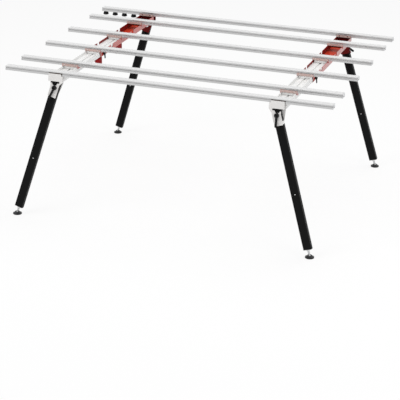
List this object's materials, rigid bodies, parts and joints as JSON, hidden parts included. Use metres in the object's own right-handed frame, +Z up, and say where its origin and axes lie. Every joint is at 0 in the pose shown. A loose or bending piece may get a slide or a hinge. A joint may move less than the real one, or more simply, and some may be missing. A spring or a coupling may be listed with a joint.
{
  "type": "folding work table",
  "caption": "Folding work table of slotted aluminium rails on telescoping cross-members, with splayed folding legs, clamping levers and levelling feet.",
  "frame": {"origin": "on the floor under the middle of the open table", "axes": "+X along the rails, +Y from the front to the rear, +Z up"},
  "size_m": [1.8, 1.5344, 0.82],
  "materials": {
    "rail": "satin anodised extrusion",
    "cap": "moulded",
    "red_coat": "satin powder coat",
    "grey_coat": "satin powder coat",
    "black_coat": "satin powder coat",
    "lever": "moulded",
    "stem": "zinc plated",
    "pad": "moulded"
  },
  "bodies": {
    "rear_frame": {"rail_1": "rail", "end_cap_1_left": "cap", "end_cap_1_right": "cap", "rail_2": "rail", "end_cap_2_left": "cap", "end_cap_2_right": "cap", "clip_2_left": "red_coat", "clip_2_right": "red_coat", "outer_channel_left": "red_coat", "outer_channel_right": "red_coat", "bracket_rear_left": "red_coat", "bracket_rear_right": "red_coat"},
    "front_frame": {"rail_5": "rail", "end_cap_5_left": "cap", "end_cap_5_right": "cap", "clip_5_left": "red_coat", "clip_5_right": "red_coat", "rail_6": "rail", "end_cap_6_left": "cap", "end_cap_6_right": "cap", "inner_channel_left": "grey_coat", "inner_channel_right": "grey_coat", "bracket_front_left": "grey_coat", "bracket_front_right": "grey_coat"},
    "rail_3_carriage": {"rail_3": "rail", "end_cap_3_left": "cap", "end_cap_3_right": "cap", "clip_3_left": "red_coat", "clip_3_right": "red_coat"},
    "rail_4_carriage": {"rail_4": "rail", "end_cap_4_left": "cap", "end_cap_4_right": "cap", "clip_4_left": "red_coat", "clip_4_right": "red_coat"},
    "leg_front_left": {"leg_front_left": "black_coat"},
    "foot_stem_front_left": {"foot_stem_front_left": "stem"},
    "foot_pad_front_left": {"foot_pad_front_left": "pad"},
    "leg_lever_front_left": {"leg_lever_front_left": "lever"},
    "leg_rear_left": {"leg_rear_left": "black_coat"},
    "foot_stem_rear_left": {"foot_stem_rear_left": "stem"},
    "foot_pad_rear_left": {"foot_pad_rear_left": "pad"},
    "leg_lever_rear_left": {"leg_lever_rear_left": "lever"},
    "leg_front_right": {"leg_front_right": "black_coat"},
    "foot_stem_front_right": {"foot_stem_front_right": "stem"},
    "foot_pad_front_right": {"foot_pad_front_right": "pad"},
    "leg_lever_front_right": {"leg_lever_front_right": "lever"},
    "leg_rear_right": {"leg_rear_right": "black_coat"},
    "foot_stem_rear_right": {"foot_stem_rear_right": "stem"},
    "foot_pad_rear_right": {"foot_pad_rear_right": "pad"},
    "leg_lever_rear_right": {"leg_lever_rear_right": "lever"},
    "width_lock_left": {"width_lock_left": "lever"},
    "width_lock_right": {"width_lock_right": "lever"},
    "clamp_knob_1": {"clamp_knob_1": "lever"},
    "clamp_knob_2": {"clamp_knob_2": "lever"},
    "clamp_knob_3": {"clamp_knob_3": "lever"},
    "clamp_knob_4": {"clamp_knob_4": "lever"}
  },
  "joints": [
    {"name": "width_slide", "type": "slide", "parent": "rear_frame", "child": "front_frame", "axis": [0, 1, 0], "range_m": [0, 0.36]},
    {"name": "rail_3_slide", "type": "slide", "parent": "rear_frame", "child": "rail_3_carriage", "axis": [0, 1, 0], "range_m": [0, 0.12]},
    {"name": "rail_4_slide", "type": "slide", "parent": "rear_frame", "child": "rail_4_carriage", "axis": [0, 1, 0], "range_m": [0, 0.24]},
    {"name": "leg_fold_front_left", "type": "hinge", "parent": "front_frame", "child": "leg_front_left", "pos_m": [-0.612, -0.69258, 0.734], "axis": [0, -0.9976, 0.0698], "range_deg": [0, 106.5]},
    {"name": "foot_height_front_left", "type": "slide", "parent": "leg_front_left", "child": "foot_stem_front_left", "axis": [-0.284, -0.0669, -0.9565], "range_m": [0, 0.02]},
    {"name": "foot_swivel_front_left", "type": "hinge", "parent": "foot_stem_front_left", "child": "foot_pad_front_left", "pos_m": [-0.82704, -0.74322, 0.0098], "axis": [0, 1, 0], "range_deg": [-15, 15]},
    {"name": "leg_clamp_front_left", "type": "hinge", "parent": "front_frame", "child": "leg_lever_front_left", "pos_m": [-0.612, -0.69258, 0.734], "axis": [0, 0.9976, -0.0698], "range_deg": [-90, 90]},
    {"name": "leg_fold_rear_left", "type": "hinge", "parent": "rear_frame", "child": "leg_rear_left", "pos_m": [-0.612, 0.69258, 0.734], "axis": [0, -0.9976, -0.0698], "range_deg": [0, 106.5]},
    {"name": "foot_height_rear_left", "type": "slide", "parent": "leg_rear_left", "child": "foot_stem_rear_left", "axis": [-0.284, 0.0669, -0.9565], "range_m": [0, 0.02]},
    {"name": "foot_swivel_rear_left", "type": "hinge", "parent": "foot_stem_rear_left", "child": "foot_pad_rear_left", "pos_m": [-0.82704, 0.74322, 0.0098], "axis": [0, 1, 0], "range_deg": [-15, 15]},
    {"name": "leg_clamp_rear_left", "type": "hinge", "parent": "rear_frame", "child": "leg_lever_rear_left", "pos_m": [-0.612, 0.69258, 0.734], "axis": [0, 0.9976, 0.0698], "range_deg": [-90, 90]},
    {"name": "leg_fold_front_right", "type": "hinge", "parent": "front_frame", "child": "leg_front_right", "pos_m": [0.612, -0.69258, 0.734], "axis": [0, 0.9976, -0.0698], "range_deg": [0, 99.5]},
    {"name": "foot_height_front_right", "type": "slide", "parent": "leg_front_right", "child": "foot_stem_front_right", "axis": [0.284, -0.0669, -0.9565], "range_m": [0, 0.02]},
    {"name": "foot_swivel_front_right", "type": "hinge", "parent": "foot_stem_front_right", "child": "foot_pad_front_right", "pos_m": [0.82704, -0.74322, 0.0098], "axis": [0, 1, 0], "range_deg": [-15, 15]},
    {"name": "leg_clamp_front_right", "type": "hinge", "parent": "front_frame", "child": "leg_lever_front_right", "pos_m": [0.612, -0.69258, 0.734], "axis": [0, 0.9976, -0.0698], "range_deg": [-90, 90]},
    {"name": "leg_fold_rear_right", "type": "hinge", "parent": "rear_frame", "child": "leg_rear_right", "pos_m": [0.612, 0.69258, 0.734], "axis": [0, 0.9976, 0.0698], "range_deg": [0, 99.5]},
    {"name": "foot_height_rear_right", "type": "slide", "parent": "leg_rear_right", "child": "foot_stem_rear_right", "axis": [0.284, 0.0669, -0.9565], "range_m": [0, 0.02]},
    {"name": "foot_swivel_rear_right", "type": "hinge", "parent": "foot_stem_rear_right", "child": "foot_pad_rear_right", "pos_m": [0.82704, 0.74322, 0.0098], "axis": [0, 1, 0], "range_deg": [-15, 15]},
    {"name": "leg_clamp_rear_right", "type": "hinge", "parent": "rear_frame", "child": "leg_lever_rear_right", "pos_m": [0.612, 0.69258, 0.734], "axis": [0, 0.9976, 0.0698], "range_deg": [-90, 90]},
    {"name": "width_clamp_left", "type": "hinge", "parent": "rear_frame", "child": "width_lock_left", "pos_m": [-0.569, -0.125, 0.7752], "axis": [1, 0, 0], "range_deg": [-90, 90]},
    {"name": "width_clamp_right", "type": "hinge", "parent": "rear_frame", "child": "width_lock_right", "pos_m": [0.655, -0.125, 0.7752], "axis": [1, 0, 0], "range_deg": [-90, 90]},
    {"name": "knob_turn_1", "type": "hinge", "parent": "rear_frame", "child": "clamp_knob_1", "pos_m": [-0.881, 0.68, 0.787], "axis": [0, 0, 1], "continuous": true},
    {"name": "knob_turn_2", "type": "hinge", "parent": "rear_frame", "child": "clamp_knob_2", "pos_m": [-0.821, 0.68, 0.787], "axis": [0, 0, 1], "continuous": true},
    {"name": "knob_turn_3", "type": "hinge", "parent": "rear_frame", "child": "clamp_knob_3", "pos_m": [-0.761, 0.68, 0.787], "axis": [0, 0, 1], "continuous": true},
    {"name": "knob_turn_4", "type": "hinge", "parent": "rear_frame", "child": "clamp_knob_4", "pos_m": [-0.701, 0.68, 0.787], "axis": [0, 0, 1], "continuous": true}
  ],
  "couplings": [
    {"joint": "rail_3_slide", "follows": "width_slide", "ratio": 0.33333},
    {"joint": "rail_4_slide", "follows": "width_slide", "ratio": 0.66667}
  ]
}
